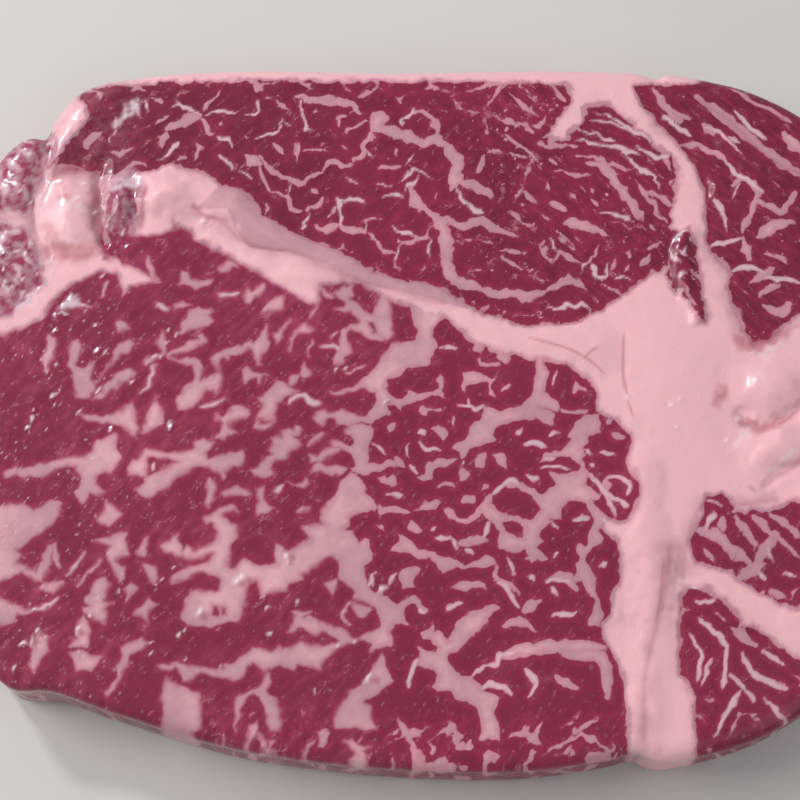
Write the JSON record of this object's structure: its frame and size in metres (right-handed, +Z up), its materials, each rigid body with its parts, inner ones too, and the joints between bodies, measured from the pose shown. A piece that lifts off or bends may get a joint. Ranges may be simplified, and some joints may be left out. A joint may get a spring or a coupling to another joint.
{
  "type": "raw beef steak",
  "caption": "Raw marbled beef rib steak lying flat: a thick slab with a large eye muscle, a cap muscle, fat seams between them and a lobed fat edge.",
  "frame": {"origin": "middle of the steak's box, on the flat underside it lies on", "axes": "+X along the steak's length, from the nubbed end to the lobed fat end; +Y across it, from the eye muscle to the cap muscle; +Z up out of the cut face"},
  "size_m": [0.194, 0.148, 0.022],
  "materials": {
    "raw_beef": "wet, glossy raw meat: crimson lean with dusty pink marbling and fat seams"
  },
  "bodies": {
    "root": {"beef_steak": "raw_beef"}
  },
  "joints": []
}
